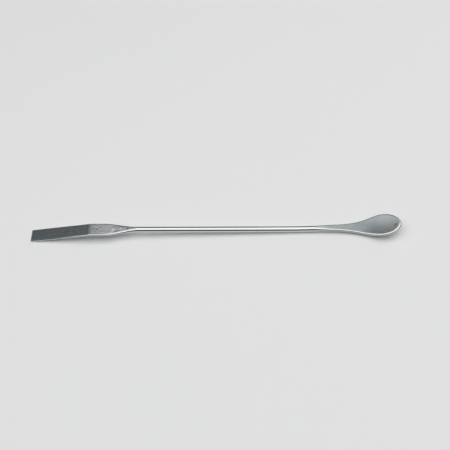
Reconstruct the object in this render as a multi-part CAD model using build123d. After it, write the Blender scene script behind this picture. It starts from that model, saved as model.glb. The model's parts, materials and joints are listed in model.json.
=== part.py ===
from build123d import *
from math import asin, atan2, cos, degrees, hypot, radians, sin
import os

# Double-ended lab spatula, forged from one length of round stainless rod.
# X runs along the tool from the blade to the spoon, Y across it, and Z up.
# Lengths are in millimetres and angles in degrees.

# Round rod between the two pressed ends, bent up a little where it comes to the spoon
rod_diameter = 3.0
rod_straight_length = 72.0
rod_bend_length = 13.0
neck_lift = 2.2

# Flat blade, thinner and a little narrower at its square end
blade_length = 28.0
blade_root_width = 7.4
blade_tip_width = 7.0
blade_root_thickness = 1.0
blade_tip_thickness = 0.6
blade_corner_radius = 0.4
blade_bend = 9.0
blade_bend_radius = 12.0

# Pressed shank: the rod flares into the blade, then runs parallel up to the bend
shank_flare_length = 16.5
shank_flat_length = 5.0

# Neck and spoon: the neck is soon as thin as the bowl and levels out again, and the shallow bowl tips up
neck_settle_length = 13.0
neck_level_length = 9.5
neck_thinning_length = 18.0
neck_width = 3.6
bowl_bend_length = 8.0
bowl_tilt = 13.0
bowl_back_length = 34.3
bowl_front_length = 9.0
bowl_width = 13.1
bowl_depth = 0.4
bowl_thickness = 1.4

# The dies first flatten this angle to each side of the round rod's top, and the whole face past this length
flat_start = 12.0
press_length = 10.0
# How far a pressed side bulges, as a share of its half height, with more on the spoon's tumbled rim
# and less at the blade's ground end
bulge_share = 0.75
spoon_bulge_share = 0.85
blade_tip_bulge_share = 0.2
# How far the cutter for the blade's end stands clear of the blade's sides, as a share of the corner radius
corner_clear_share = 0.05
# Places of the sections along each pressed end, as shares of its length
shank_shares = (0.0, 0.1, 0.22, 0.36, 0.52, 0.68, 0.84, 1.0)
spoon_shares = (0.0, 0.05, 0.1, 0.16, 0.23, 0.32, 0.42, 0.52, 0.62, 0.74, 0.85, 0.94, 1.0)
# The spoon widens late: its flare follows this power of the share of its length
flare_power = 2.1
# The bowl's edges rise only past this share of its back length
hollow_start_share = 0.63
# The neck is pressed more from below: its middle rises by this share of half the thickness that it loses
rise_share = 0.5

rod_radius = rod_diameter / 2
rod_length = rod_straight_length + rod_bend_length
shank_length = shank_flare_length + shank_flat_length
blade_bend_axis = Axis((-shank_length, 0, -blade_bend_radius - blade_root_thickness / 2), (0, -1, 0))
lift_radius = rod_bend_length / radians(neck_lift)
lift_axis = Axis((rod_straight_length, 0, lift_radius), (0, -1, 0))

# The line that rod and spoon follow from X = 0, as lengths and the angle that each turns up
bends = (
    (rod_straight_length, 0),
    (rod_bend_length, neck_lift),
    (neck_settle_length, -neck_lift),
    (neck_level_length, 0),
    (bowl_bend_length, bowl_tilt),
)


def ease(share):
    """A smooth rise from 0 to 1 that starts and ends level."""
    held = min(max(share, 0), 1)
    return held * held * (3 - 2 * held)


def settle(share):
    """A rise from 0 to 1 that starts steeply and ends level."""
    return share * (2 - share)


def between(start, end, share):
    return start + (end - start) * share


def pressed(distance):
    """How flat the faces are at a distance from the round rod."""
    return settle(min(distance / press_length, 1))


def across(x, z=0, slope=0):
    """The plane of a section: its own X runs along Y, its own Y up, and it faces along the tool."""
    return Plane(origin=(x, 0, z), x_dir=(0, 1, 0), z_dir=(cos(slope), 0, sin(slope)))


def along(distance):
    """The plane across rod or spoon at a distance from the rod's start, round the bends."""
    x, z, slope = 0, 0, 0
    for length, angle in bends:
        run = min(length, distance)
        swing = radians(angle) * run / length
        chord = run * sin(swing / 2) / (swing / 2) if swing else run
        x += chord * cos(slope + swing / 2)
        z += chord * sin(slope + swing / 2)
        slope += swing
        distance -= run
    return across(x + distance * cos(slope), z + distance * sin(slope), slope)


def arc_or_line(start, middle, end):
    return Line(start, end) if middle[1] == start[1] else ThreePointArc(start, middle, end)


def pressed_section(width, thickness, flatness, dish=0, side_share=bulge_share):
    """A section on the way from the round rod, at flatness 0, to a flat strip, at flatness 1.

    Its sides bulge, and its edges stand above its middle by the dish.
    """
    start = radians(flat_start)
    shoulder = thickness / 2 * between(cos(start), 1, flatness)
    bulge = shoulder * between((1 - sin(start)) / cos(start), side_share, flatness)
    lean = 2 * atan2(dish, width / 2)
    side = width / 2 - bulge * cos(lean)
    top = (side - shoulder * sin(lean), dish + shoulder * cos(lean))
    bottom = (side + shoulder * sin(lean), dish - shoulder * cos(lean))
    outermost = (side + bulge * cos(lean), dish + bulge * sin(lean))
    top_left, bottom_left, outermost_left = ((-y, z) for y, z in (top, bottom, outermost))
    return make_face(
        [
            arc_or_line(top_left, (0, thickness / 2), top),
            ThreePointArc(top, outermost, bottom),
            arc_or_line(bottom, (0, -thickness / 2), bottom_left),
            ThreePointArc(bottom_left, outermost_left, top_left),
        ]
    )


def make_rod():
    """The straight rod from X = 0, and the gentle bend that leads to the spoon."""
    straight = across(0) * extrude(Circle(rod_radius), rod_straight_length)
    bent = revolve(across(rod_straight_length) * Circle(rod_radius), lift_axis, neck_lift)
    return straight + bent


def make_shank():
    """The rod pressed into a flat strip, from the rod's start to the blade's bend."""
    sections = []
    for share in shank_shares:
        width = between(rod_diameter, blade_root_width, ease(share))
        thickness = between(rod_diameter, blade_root_thickness, settle(share))
        section = pressed_section(width, thickness, pressed(shank_flare_length * share))
        sections.append(across(-shank_flare_length * share) * section)
    strip = pressed_section(blade_root_width, blade_root_thickness, flatness=1)
    return loft(sections) + across(-shank_length) * extrude(strip, shank_flat_length)


def blade_end_outline():
    """The blade from above, just clear of its sides, with the corners of its square end rounded."""
    clear = blade_corner_radius * corner_clear_share
    root = blade_root_width / 2 + clear
    tip = blade_tip_width / 2 + clear
    corners = ((0, root), (0, -root), (-blade_length, -tip), (-blade_length, tip))
    outline = make_face(Polyline(*corners, close=True))
    return fillet(outline.vertices().group_by(Axis.X)[0], blade_corner_radius)


def make_blade():
    """The bend, as a strip turned about its axis, and the tapered blade beyond it."""
    root = pressed_section(blade_root_width, blade_root_thickness, flatness=1)
    tip = pressed_section(blade_tip_width, blade_tip_thickness, flatness=1, side_share=blade_tip_bulge_share)
    bend = revolve(across(-shank_length) * root, blade_bend_axis, blade_bend)
    blade = loft([across(-blade_length) * tip, across(0) * root], ruled=True)
    blade = blade & extrude(blade_end_outline(), blade_root_thickness, both=True)
    return bend + (Pos(-shank_length, 0, 0) * blade).rotate(blade_bend_axis, blade_bend)


def neck_rise(thickness):
    """How far a pressed section's middle stands above the line of the bends."""
    return rise_share * (rod_diameter - thickness) / 2


def make_spoon_back():
    """Neck and back of the bowl, from the rod's end to the bowl's widest section."""
    sections = []
    for share in spoon_shares:
        distance = bowl_back_length * share
        spread_width = between(rod_diameter, neck_width, ease(distance / press_length))
        width = between(spread_width, bowl_width, ease(share**flare_power))
        thickness = between(rod_diameter, bowl_thickness, settle(min(distance / neck_thinning_length, 1)))
        hollow = ease((share - hollow_start_share) / (1 - hollow_start_share))
        section = pressed_section(width, thickness, pressed(distance), bowl_depth * hollow, spoon_bulge_share)
        sections.append(along(rod_length + distance) * Pos(0, neck_rise(thickness)) * section)
    return loft(sections)


def make_spoon_front():
    """Front of the bowl: its widest section turned half round and drawn out to the tip."""
    section = pressed_section(bowl_width, bowl_thickness, 1, bowl_depth, spoon_bulge_share)
    front = revolve(split(section, Plane.YZ, Keep.BOTTOM), Axis.Y, 180)
    front = scale(front, (1, 1, 2 * bowl_front_length / bowl_width))
    return along(rod_length + bowl_back_length) * Pos(0, neck_rise(bowl_thickness)) * front


def lie_down(tool):
    """Set the tool on Z = 0 as it comes to rest, on its blade's end and the underside of the rod's bend."""
    turn = radians(blade_bend)
    reach = blade_bend_radius + (blade_root_thickness - blade_tip_thickness) / 2
    edge_x = -shank_length - blade_length * cos(turn) - reach * sin(turn)
    edge_z = blade_bend_axis.position.Z - blade_length * sin(turn) + reach * cos(turn)
    to_bend_x = rod_straight_length - edge_x
    to_bend_z = lift_radius - edge_z
    slope_to_bend = atan2(to_bend_z, to_bend_x)
    slope_to_touch = asin((lift_radius + rod_radius) / hypot(to_bend_x, to_bend_z))
    tool = Rot(0, degrees(slope_to_bend - slope_to_touch), 0) * tool
    box = tool.bounding_box()
    return Pos(-box.center().X, 0, -box.min.Z) * tool


spatula = lie_down(make_rod() + make_shank() + make_blade() + make_spoon_back() + make_spoon_front())

os.makedirs("parts", exist_ok=True)
export_step(spatula, "parts/spatula.step")
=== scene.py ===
import bmesh
import bpy
import json
from math import atan2, cos, pi, radians, sin
from mathutils import Matrix, Vector


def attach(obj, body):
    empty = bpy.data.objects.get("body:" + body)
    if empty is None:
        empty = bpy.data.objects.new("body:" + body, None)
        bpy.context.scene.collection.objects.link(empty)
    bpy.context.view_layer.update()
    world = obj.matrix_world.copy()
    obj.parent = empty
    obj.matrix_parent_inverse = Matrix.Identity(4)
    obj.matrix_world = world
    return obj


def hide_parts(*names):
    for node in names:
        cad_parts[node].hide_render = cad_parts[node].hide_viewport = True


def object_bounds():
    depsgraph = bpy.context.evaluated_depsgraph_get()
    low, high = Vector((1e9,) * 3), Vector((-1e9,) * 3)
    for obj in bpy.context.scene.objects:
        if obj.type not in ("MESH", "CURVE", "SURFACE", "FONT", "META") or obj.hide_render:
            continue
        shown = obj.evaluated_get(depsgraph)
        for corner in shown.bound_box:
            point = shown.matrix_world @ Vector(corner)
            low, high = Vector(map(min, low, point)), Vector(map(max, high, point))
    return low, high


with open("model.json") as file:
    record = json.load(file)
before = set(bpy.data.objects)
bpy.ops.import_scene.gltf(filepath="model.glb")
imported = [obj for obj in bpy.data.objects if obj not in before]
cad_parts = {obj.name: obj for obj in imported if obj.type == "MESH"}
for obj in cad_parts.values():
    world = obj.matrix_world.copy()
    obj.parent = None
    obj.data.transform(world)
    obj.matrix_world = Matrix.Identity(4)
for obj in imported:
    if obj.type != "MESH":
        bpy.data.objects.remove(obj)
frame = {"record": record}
cad_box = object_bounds()


# The rod: round stainless rod, drawn to size and left bright. The whole tool is pressed from one length of
# it, so its mesh is one tube. The tube starts here, as a ring where the shank meets the rod, is drawn along
# the straight, and lifts in one long bend on its way to the spoon.
mm = 0.001
grip = next(mount for mount in frame["record"]["mounts"] if mount["name"] == "rod_grip")
rod_diameter = 2 * grip["dims"]["r_mm"] * mm
rod_straight = grip["dims"]["length_mm"] * mm
rod_bend = 13 * mm
rod_bend_sections = 10
neck_lift = radians(2.2)
# Close to each change of form a second section keeps the bright surface beside it flat or straight
guard = 0.4 * mm
# The dies first flatten this angle to each side of the rod's top, and the whole face past this length
flat_start = radians(12)
press_length = 10 * mm
# A pressed side bulges by this share of its half height
side_bulge_share = 0.75
# The dies dull the faces, and wear leaves only this share of that on their edges
worn_share = 0.15
# How wide a worn edge is, as a share of its face's half width
worn_edge_share = 0.02
# How many faces go round the tube: across its top or its bottom, and down each side
top_faces = 20
side_faces = 24

tool = bmesh.new()
pressed_layer = tool.verts.layers.float.new("pressed")


def between(start, end, share):
    return start + (end - start) * share


def settle(share):
    """A rise from 0 to 1 that starts steeply and ends level."""
    return share * (2 - share)


def pressed_at(distance):
    """How flat the faces are at a distance from the round rod."""
    return settle(min(distance / press_length, 1))


def along(bends, distance):
    """The place of a section at a distance along bends, each a length and the angle that it turns up."""
    place = Matrix()
    for length, turn in bends:
        run = min(length, distance)
        half_turn = Matrix.Rotation(-turn * run / length / 2, 4, "Y")
        half_angle = abs(turn * run / length / 2)
        chord = run * sin(half_angle) / half_angle if half_angle else run
        place = place @ half_turn @ Matrix.Translation((chord, 0, 0)) @ half_turn
        distance -= run
    return place @ Matrix.Translation((distance, 0, 0))


def bowed(start, end, rise, faces):
    """Points on an arc from start to just short of end, closest together at both.

    The arc bows out to its left by the rise, and without a rise it is a straight line.
    """
    start = Vector(start)
    half_chord = (Vector(end) - start) / 2
    outward = Vector((-half_chord.y, half_chord.x)).normalized()
    half_angle = 2 * atan2(rise, half_chord.length)
    for step in range(faces):
        share = -cos(pi * step / faces)
        if half_angle:
            angle = share * half_angle
            forward = sin(angle) / sin(half_angle)
            bow = (cos(angle) - cos(half_angle)) / sin(half_angle) * half_chord.length
        else:
            forward = share
            bow = 0
        yield start + half_chord * (1 + forward) + outward * bow


def section(width, thickness, flatness, dish=0, side_share=side_bulge_share):
    """The outline on the way from the round rod, at flatness 0, to a flat strip, at flatness 1.

    Its sides bulge, and its edges stand above its middle by the dish.
    """
    shoulder = thickness / 2 * between(cos(flat_start), 1, flatness)
    bulge = shoulder * between((1 - sin(flat_start)) / cos(flat_start), side_share, flatness)
    lean = 2 * atan2(dish, width / 2)
    side = width / 2 - bulge * cos(lean)
    top_y = side - shoulder * sin(lean)
    top_z = dish + shoulder * cos(lean)
    bottom_y = side + shoulder * sin(lean)
    bottom_z = dish - shoulder * cos(lean)
    return [
        *bowed((-top_y, top_z), (top_y, top_z), thickness / 2 - top_z, top_faces),
        *bowed((top_y, top_z), (bottom_y, bottom_z), bulge, side_faces),
        *bowed((bottom_y, bottom_z), (-bottom_y, bottom_z), bottom_z + thickness / 2, top_faces),
        *bowed((-bottom_y, bottom_z), (-top_y, top_z), bulge, side_faces),
    ]


def lay(ring, place, outline, dulled, edge_share=worn_edge_share):
    """Moves a ring of vertices onto an outline, and notes how far the dies have dulled each of them."""
    corner = outline[top_faces].x
    for vertex, (y, z) in zip(ring, outline):
        vertex.co = place @ Vector((0, y, z))
        from_edge = min(max((1 - abs(y) / corner) / edge_share, 0), 1)
        vertex[pressed_layer] = between(worn_share, 1, from_edge) * dulled


def ring_edges(ring):
    return [tool.edges.get(pair) for pair in zip(ring, ring[1:] + ring[:1])]


def draw_out(ring, place, outline, dulled, edge_share=worn_edge_share):
    """Extrudes the tube's open end to a new section, and returns that section's ring of vertices."""
    grown = bmesh.ops.extrude_edge_only(tool, edges=ring_edges(ring))["geom"]
    new = {item for item in grown if isinstance(item, bmesh.types.BMVert)}
    new_ring = [
        next(edge.other_vert(vertex) for edge in vertex.link_edges if edge.other_vert(vertex) in new)
        for vertex in ring
    ]
    lay(new_ring, place, outline, dulled, edge_share)
    return new_ring


round_section = section(rod_diameter, rod_diameter, 0)
rod_ring = bmesh.ops.create_circle(tool, segments=len(round_section), radius=rod_diameter / 2)["verts"]
lay(rod_ring, Matrix(), round_section, 0)
rod_line = ((rod_straight, 0), (rod_bend, neck_lift))
neck_ring = rod_ring
for distance in (
    guard,
    rod_straight - guard,
    *(rod_straight + rod_bend * step / rod_bend_sections for step in range(rod_bend_sections + 1)),
):
    neck_ring = draw_out(neck_ring, along(rod_line, distance), round_section, 0)


# The spoon: the rod's end pressed flat and dished in a die, then tumbled to a satin. The neck levels out
# again, and the bowl tips up, widens late and ends in a blunt point. The bowl's front is its widest section
# turned half round and drawn out to the tip.
neck_settle = 13 * mm
neck_level = 9.5 * mm
neck_thinning = 18 * mm
neck_width = 3.6 * mm
bowl_bend = 8 * mm
bowl_tilt = radians(13)
bowl_back = 34.3 * mm
bowl_front = 9 * mm
bowl_width = 13.1 * mm
bowl_depth = 0.4 * mm
bowl_thickness = 1.4 * mm
# The flare follows this power of the share of the back's length
flare_power = 2.1
# The bowl's edges rise only past this share of the back's length
hollow_start_share = 0.63
# The neck is pressed more from below: its middle rises by this share of half the thickness that it loses
neck_rise_share = 0.5
# Tumbling rounds the spoon's rim more than the blade's sides
spoon_bulge_share = 0.85
# The neck stays bright up to where its faces are this flat
neck_bright_share = 0.55
# Vertices of the front that lie closer than this share of the thickness are one
weld_share = 0.001
spoon_sections = 56
front_sections = 48


def ease(share):
    """A smooth rise from 0 to 1 that starts and ends level."""
    held = min(max(share, 0), 1)
    return held * held * (3 - 2 * held)


spoon_line = (*rod_line, (neck_settle, -neck_lift), (neck_level, 0), (bowl_bend, bowl_tilt))
rim_ring = neck_ring
for step in range(1, spoon_sections + 1):
    share = step / spoon_sections
    distance = bowl_back * share
    spread_width = between(rod_diameter, neck_width, ease(distance / press_length))
    width = between(spread_width, bowl_width, ease(share**flare_power))
    thickness = between(rod_diameter, bowl_thickness, settle(min(distance / neck_thinning, 1)))
    dish = bowl_depth * ease((share - hollow_start_share) / (1 - hollow_start_share))
    rise = neck_rise_share * (rod_diameter - thickness) / 2
    place = along(spoon_line, rod_straight + rod_bend + distance) @ Matrix.Translation((0, 0, rise))
    flatness = pressed_at(distance)
    outline = section(width, thickness, flatness, dish, spoon_bulge_share)
    dulled = min(flatness / neck_bright_share, 1)
    rim_ring = draw_out(rim_ring, place, outline, dulled)

half_ring = rim_ring[top_faces // 2 : top_faces + side_faces + top_faces // 2 + 1]
half_edges = [tool.edges.get(pair) for pair in zip(half_ring, half_ring[1:])]
before_front = set(tool.verts)
bmesh.ops.spin(
    tool,
    geom=half_ring + half_edges,
    cent=place.translation,
    axis=place.col[2].xyz,
    angle=-pi,
    steps=front_sections,
)
front = [vertex for vertex in tool.verts if vertex not in before_front]
bmesh.ops.scale(tool, vec=(bowl_front / (bowl_width / 2), 1, 1), space=place.inverted(), verts=front)
bmesh.ops.remove_doubles(tool, verts=front + rim_ring, dist=bowl_thickness * weld_share)


# The shank and blade: the rod's other end flared and pressed into a parallel strip, bent down across one
# line, and ground from there to a thinner, slightly narrower blade with a square end.
flare_length = 16.5 * mm
strip_length = 5 * mm
blade_bend = radians(9)
blade_bend_radius = 12 * mm
blade_length = 28 * mm
root_width = 7.4 * mm
root_thickness = 1 * mm
tip_width = 7 * mm
tip_thickness = 0.6 * mm
corner_radius = 0.4 * mm
# The blade's end is ground nearly square, so its sides bulge less there
tip_bulge_share = 0.2
# The shank stays bright only up to where its faces are this flat
shank_bright_share = 0.2
# Its worn edges are this wide beside the rod, and narrow down towards the strip
shank_worn_edge_share = 0.3
flare_sections = 36
bend_sections = 10
blade_sections = 8
corner_sections = 6

shank_length = flare_length + strip_length
bend_length = blade_bend * (blade_bend_radius + root_thickness / 2)
blade_line = ((shank_length, 0), (bend_length, -blade_bend))


def along_blade(distance):
    """The place of a section at a distance from the rod towards the blade's end."""
    return Matrix.Scale(-1, 4, (1, 0, 0)) @ along(blade_line, distance)


tip_ring = rod_ring
for step in range(1, flare_sections + 1):
    share = step / flare_sections
    distance = flare_length * share
    width = between(rod_diameter, root_width, ease(share))
    thickness = between(rod_diameter, root_thickness, settle(share))
    flatness = pressed_at(distance)
    outline = section(width, thickness, flatness)
    dulled = min(flatness / shank_bright_share, 1)
    edge_share = between(shank_worn_edge_share, worn_edge_share, share)
    tip_ring = draw_out(tip_ring, along_blade(distance), outline, dulled, edge_share)
strip = section(root_width, root_thickness, 1)
for distance in (
    flare_length + guard,
    shank_length - guard,
    *(shank_length + bend_length * step / bend_sections for step in range(bend_sections + 1)),
):
    tip_ring = draw_out(tip_ring, along_blade(distance), strip, 1)

# Distances from the bend and what is taken off each side there, down the blade and round its end's corners
blade_steps = [(guard, 0)]
for step in range(1, blade_sections + 1):
    blade_steps.append(((blade_length - corner_radius) * step / blade_sections, 0))
for step in range(1, corner_sections + 1):
    angle = pi / 2 * step / corner_sections
    from_end = corner_radius * (1 - sin(angle))
    blade_steps.append((blade_length - from_end, corner_radius * (1 - cos(angle))))
for distance, taken_off in blade_steps:
    share = distance / blade_length
    width = between(root_width, tip_width, share) - 2 * taken_off
    thickness = between(root_thickness, tip_thickness, share)
    side_share = between(side_bulge_share, tip_bulge_share, share)
    outline = section(width, thickness, 1, side_share=side_share)
    tip_ring = draw_out(tip_ring, along_blade(shank_length + bend_length + distance), outline, 1)
bmesh.ops.edgeloop_fill(tool, edges=ring_edges(tip_ring))


# The finished tool: one piece of steel, with nothing fixed to it. It is laid down as it comes to rest, on
# its blade's end and the underside of the rod's bend.
sharp_angle = radians(40)
turn_to_rest = Vector((1, 0, 0)).rotation_difference(Vector(grip["axis"])).to_matrix().to_4x4()
to_rest = Matrix.Translation(grip["pos_m"]) @ turn_to_rest @ Matrix.Translation((-rod_straight / 2, 0, 0))
bmesh.ops.transform(tool, matrix=to_rest, verts=tool.verts)
bmesh.ops.recalc_face_normals(tool, faces=tool.faces)
steel_mesh = bpy.data.meshes.new("steel_spatula")
tool.to_mesh(steel_mesh)
tool.free()
steel_mesh.shade_smooth()
steel_mesh.set_sharp_from_angle(angle=sharp_angle)
spatula = bpy.data.objects.new("steel_spatula", steel_mesh)
bpy.context.scene.collection.objects.link(spatula)
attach(spatula, "root")
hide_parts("spatula")


# Stainless steel, bright where it is drawn and worn, satin where it is pressed, and smoother where the blade
# is ground. The rod shows one hard white line between two dark ones, the pressed faces show the same lamp
# spread out to soft greys, and the blade mirrors more of the dark room.
steel = bpy.data.materials.new("stainless_steel_drawn_and_pressed")
steel.use_nodes = True
tree = steel.node_tree
shader = tree.nodes["Principled BSDF"]
shader.inputs["Metallic"].default_value = 1


def linear(hex_colour):
    """An sRGB hex colour as linear red, green, blue and alpha."""
    shares = []
    for start in (1, 3, 5):
        share = int(hex_colour[start : start + 2], 16) / 255
        shares.append(share / 12.92 if share <= 0.04045 else ((share + 0.055) / 1.055) ** 2.4)
    return [*shares, 1]


def add(kind, inputs, **settings):
    """Adds a node with its settings, and links or fills its inputs."""
    node = tree.nodes.new(kind)
    for name, value in settings.items():
        setattr(node, name, value)
    for name, value in inputs.items():
        if isinstance(value, bpy.types.NodeSocket):
            tree.links.new(value, node.inputs[name])
        else:
            node.inputs[name].default_value = value
    return node


object_place = add("ShaderNodeTexCoord", {}).outputs["Object"]
x = add("ShaderNodeSeparateXYZ", {"Vector": object_place}).outputs["X"]
pressed = add("ShaderNodeAttribute", {}, attribute_name="pressed").outputs["Fac"]
# The grinding sets in over the length of the blade's bend
grinding_start = (to_rest @ Vector((-shank_length, 0, 0))).x
grinding_full = grinding_start - bend_length
ground = add(
    "ShaderNodeMapRange", {"Value": x, "From Min": grinding_start, "From Max": grinding_full}
).outputs["Result"]

# Lines from drawing and grinding run along the tool. They are a few times coarser than the real ones of
# 0.1 mm, to show at all, and hardly change with height, so that they run on down the sloping blade
line_width = 0.5 * mm
line_squeeze = (0.03, 1, 0.1)
along_tool = add("ShaderNodeMapping", {"Vector": object_place, "Scale": line_squeeze}).outputs["Vector"]
lines = add(
    "ShaderNodeTexNoise", {"Vector": along_tool, "Scale": 1 / line_width, "Detail": 4}
).outputs["Fac"]
# The dies leave low lumps, longer across the tool than along it
lump_size = 1.6 * mm
lump_squeeze = (2, 1, 1)
across_tool = add("ShaderNodeMapping", {"Vector": object_place, "Scale": lump_squeeze}).outputs["Vector"]
lumps = add(
    "ShaderNodeTexNoise", {"Vector": across_tool, "Scale": 1 / lump_size, "Detail": 3}
).outputs["Fac"]
# Tones of the pressed faces, with their places along the tool in millimetres: lightest on the shank and
# where the neck starts, darkest where the neck opens into the bowl. These steps are painted light and shade,
# standing in for how brightly each stretch catches the lamp, and their cool cast is a painted reflection of
# bluish surroundings
tones_with_painted_light = (
    (-62, "#B8C2C6"),
    (-61, "#A9B1B6"),
    (-51, "#C8CDCF"),
    (-43, "#B6BEC1"),
    (50, "#CCD3D4"),
    (56, "#ABB3B5"),
    (63, "#A1AAAD"),
    (70, "#A0A9AC"),
    (78, "#A2ABAE"),
    (87, "#B2BABC"),
)
left = cad_box[0][0]
right = cad_box[1][0]
share_along = add("ShaderNodeMapRange", {"Value": x, "From Min": left, "From Max": right}).outputs["Result"]
tone_and_painted_light_ramp = add("ShaderNodeValToRGB", {"Fac": share_along})
ramp = tone_and_painted_light_ramp.color_ramp
ramp.elements.remove(ramp.elements[1])
ramp.elements[0].color = linear(tones_with_painted_light[0][1])
for tone_place, tone in tones_with_painted_light:
    ramp.elements.new((tone_place * mm - left) / (right - left)).color = linear(tone)

# Handling leaves a faint warm cast: uniform on the ground blade, and in patches on the pressed faces, which
# start and are full at these values of their noise
handled_colour = "#C6C0BA"
blade_cast_share = 0.1
patch_cast_share = 0.3
patch_size = 7 * mm
patch_start = 0.4
patch_full = 0.6
patches = add(
    "ShaderNodeTexNoise", {"Vector": object_place, "Scale": 1 / patch_size, "Detail": 2}
).outputs["Fac"]
patch_cast = add(
    "ShaderNodeMapRange",
    {"Value": patches, "From Min": patch_start, "From Max": patch_full, "To Max": patch_cast_share},
).outputs["Result"]
cast = add("ShaderNodeMix", {"Factor": ground, "A": patch_cast, "B": blade_cast_share}).outputs["Result"]
cast_colour = add(
    "ShaderNodeMixRGB",
    {"Fac": cast, "Color1": tone_and_painted_light_ramp.outputs["Color"], "Color2": linear(handled_colour)},
).outputs["Color"]

# The grinding lines show as darker streaks on the blade, which start and are full at these values of noise
streak_colour = "#788084"
streak_share = 0.4
streak_start = 0.4
streak_full = 0.65
streaks = add(
    "ShaderNodeMapRange",
    {"Value": lines, "From Min": streak_start, "From Max": streak_full, "To Max": streak_share},
).outputs["Result"]
blade_streaks = add("ShaderNodeMath", {0: streaks, 1: ground}, operation="MULTIPLY").outputs["Value"]
face_colour = add(
    "ShaderNodeMixRGB",
    {"Fac": blade_streaks, "Color1": cast_colour, "Color2": linear(streak_colour)},
).outputs["Color"]

# Two stains inside the tip of the bowl, and on the shank two painted glints where nicks catch the lamp and
# two spots of painted shade in dents beside them, with their places and radii in millimetres
stains_glints_and_shade = (
    ((86.65, -1.2, 5.19), 0.7, "#646E70"),
    ((85.9, -2.2, 5.02), 0.65, "#646E70"),
    # Painted glints: near-white spots where nicks on the shank catch the lamp
    ((-49.9, -0.7, 4.39), 0.8, "#F0F2F2"),
    ((-46.0, -0.1, 4.48), 0.65, "#E8E8E2"),
    # Painted shade: darker spots in the dents beside the glints
    ((-48.0, -1.2, 4.41), 0.7, "#9EA6A9"),
    ((-42.6, -0.3, 4.65), 0.8, "#949C9F"),
)
# A noise shifts places to and fro about its middle value, which makes the marks ragged
ragged_size = 0.9 * mm
ragged_reach = 2.6 * mm
noise_middle = 0.5
ragged = add(
    "ShaderNodeTexNoise", {"Vector": object_place, "Scale": 1 / ragged_size, "Detail": 3}
).outputs["Color"]
ragged_shift = add(
    "ShaderNodeVectorMath", {0: ragged, 1: [noise_middle] * 3}, operation="SUBTRACT"
).outputs["Vector"]
ragged_place = add(
    "ShaderNodeVectorMath",
    {0: ragged_shift, 1: [ragged_reach] * 3, 2: object_place},
    operation="MULTIPLY_ADD",
).outputs["Vector"]
# A mark starts at its radius and is full from this share of it inwards
mark_full_share = 0.5
for mark_place, mark_radius, stain_glint_shade_colour in stains_glints_and_shade:
    from_mark = add(
        "ShaderNodeVectorMath", {0: ragged_place, 1: Vector(mark_place) * mm}, operation="DISTANCE"
    ).outputs["Value"]
    radius = mark_radius * mm
    mark = add(
        "ShaderNodeMapRange", {"Value": from_mark, "From Min": radius, "From Max": radius * mark_full_share}
    ).outputs["Result"]
    face_colour = add(
        "ShaderNodeMixRGB", {"Fac": mark, "Color1": face_colour, "Color2": linear(stain_glint_shade_colour)}
    ).outputs["Color"]

drawn_colour = "#D2D4D4"
colour = add(
    "ShaderNodeMixRGB", {"Fac": pressed, "Color1": linear(drawn_colour), "Color2": face_colour}
).outputs["Color"]
tree.links.new(colour, shader.inputs["Base Color"])

# Each finish is a little rougher where its pattern is high, between these values of the pattern's noise
pattern_low = 0.3
pattern_high = 0.7
roughness = {}
for finish, pattern, smoothest, roughest in (
    ("pressed", lumps, 0.38, 0.48),
    ("ground", lines, 0.22, 0.28),
    ("drawn", lines, 0.05, 0.09),
):
    roughness[finish] = add(
        "ShaderNodeMapRange",
        {
            "Value": pattern,
            "From Min": pattern_low,
            "From Max": pattern_high,
            "To Min": smoothest,
            "To Max": roughest,
        },
    ).outputs["Result"]
face_roughness = add(
    "ShaderNodeMix", {"Factor": ground, "A": roughness["pressed"], "B": roughness["ground"]}
).outputs["Result"]
tool_roughness = add(
    "ShaderNodeMix", {"Factor": pressed, "A": roughness["drawn"], "B": face_roughness}
).outputs["Result"]
tree.links.new(tool_roughness, shader.inputs["Roughness"])

# The lumps are deepest on the shank and shallow on the spoon, which lies past this place along the tool.
# The grinding lines are shallower still
shank_lump_depth = 0.3 * mm
spoon_lump_depth = 0.08 * mm
line_depth = 0.01 * mm
spoon_side = 40 * mm
relief = add("ShaderNodeMix", {"Factor": ground, "A": lumps, "B": lines}).outputs["Result"]
height = add("ShaderNodeMath", {0: relief, 1: pressed}, operation="MULTIPLY").outputs["Value"]
lump_depth = add(
    "ShaderNodeMapRange",
    {"Value": x, "From Max": spoon_side, "To Min": shank_lump_depth, "To Max": spoon_lump_depth},
).outputs["Result"]
depth = add("ShaderNodeMix", {"Factor": ground, "A": lump_depth, "B": line_depth}).outputs["Result"]
bump = add("ShaderNodeBump", {"Height": height, "Distance": depth}).outputs["Normal"]
tree.links.new(bump, shader.inputs["Normal"])
steel_mesh.materials.append(steel)


# The floor: a plain pale table top in matt paint, far wider than the tool.
# The tool lies on it and throws its shadow there.
floor_size = 12
floor_colour = "#F2F2F2"
floor_roughness = 0.9
table_top = bmesh.new()
bmesh.ops.create_grid(table_top, x_segments=1, y_segments=1, size=floor_size / 2)
floor_mesh = bpy.data.meshes.new("floor")
table_top.to_mesh(floor_mesh)
table_top.free()
floor = bpy.data.objects.new("floor", floor_mesh)
bpy.context.scene.collection.objects.link(floor)
floor_paint = bpy.data.materials.new("pale_matt_paint")
floor_paint.use_nodes = True
floor_shader = floor_paint.node_tree.nodes["Principled BSDF"]
floor_shader.inputs["Base Color"].default_value = linear(floor_colour)
floor_shader.inputs["Roughness"].default_value = floor_roughness
floor_mesh.materials.append(floor_paint)


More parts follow.
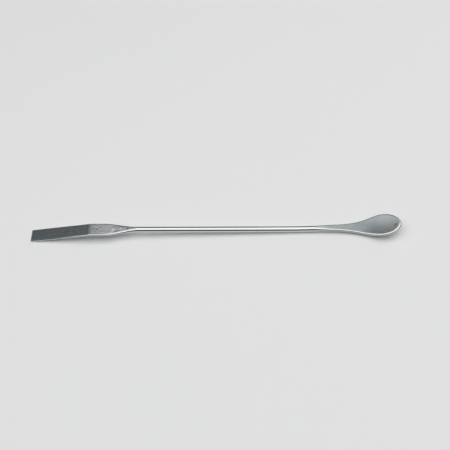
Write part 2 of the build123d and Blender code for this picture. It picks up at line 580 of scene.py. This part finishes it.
# The light: one long soft box overhead, and a smaller panel beyond the spoon that lights the rim of its tip.
# The room round them is dark, and shows as the dark lines along the rod.
box_height = 1
box_length = 2.6
box_depth = 1.68
box_tilt = radians(5.5)
box_energy = 19
key = bpy.data.lights.new("soft_box", "AREA")
key.shape = "RECTANGLE"
key.size = box_length
key.size_y = box_depth
key.energy = box_energy
soft_box = bpy.data.objects.new("soft_box", key)
soft_box.rotation_euler.x = box_tilt
soft_box.location = soft_box.rotation_euler.to_matrix() @ Vector((0, 0, box_height))
bpy.context.scene.collection.objects.link(soft_box)

panel_width = 0.8
panel_height = 1
panel_distance = 1.1
panel_rise = radians(32)
panel_turn = radians(56)
panel_energy = 1.9
rim = bpy.data.lights.new("rim_panel", "AREA")
rim.shape = "RECTANGLE"
rim.size = panel_width
rim.size_y = panel_height
rim.energy = panel_energy
rim_panel = bpy.data.objects.new("rim_panel", rim)
along_floor = cos(panel_rise)
towards_panel = Vector((along_floor * cos(panel_turn), along_floor * sin(panel_turn), sin(panel_rise)))
rim_panel.location = Vector((right, 0, 0)) + panel_distance * towards_panel
rim_panel.rotation_euler = towards_panel.to_track_quat("Z", "Y").to_euler()
bpy.context.scene.collection.objects.link(rim_panel)

room_colour = "#101618"
room = bpy.data.worlds.new("dim_room")
room.use_nodes = True
room.node_tree.nodes["Background"].inputs["Color"].default_value = linear(room_colour)
bpy.context.scene.world = room


# The camera: above the tool's near side, turned a little to it.
# It looks down at a point close to the tool's middle.
view_down = radians(50)
view_turn = radians(-1.468)
view_distance = 402.34 * mm
view_target = Vector((4.274, 4.869, 0)) * mm
sensor_width = 36
focal_length = 65.6
lens = bpy.data.cameras.new("camera")
lens.sensor_width = sensor_width
lens.lens = focal_length
camera = bpy.data.objects.new("camera", lens)
camera.rotation_euler = (pi / 2 - view_down, 0, view_turn)
camera.location = view_target + camera.rotation_euler.to_matrix() @ Vector((0, 0, view_distance))
bpy.context.scene.collection.objects.link(camera)
bpy.context.scene.camera = camera
bpy.context.scene.view_settings.view_transform = "Standard"
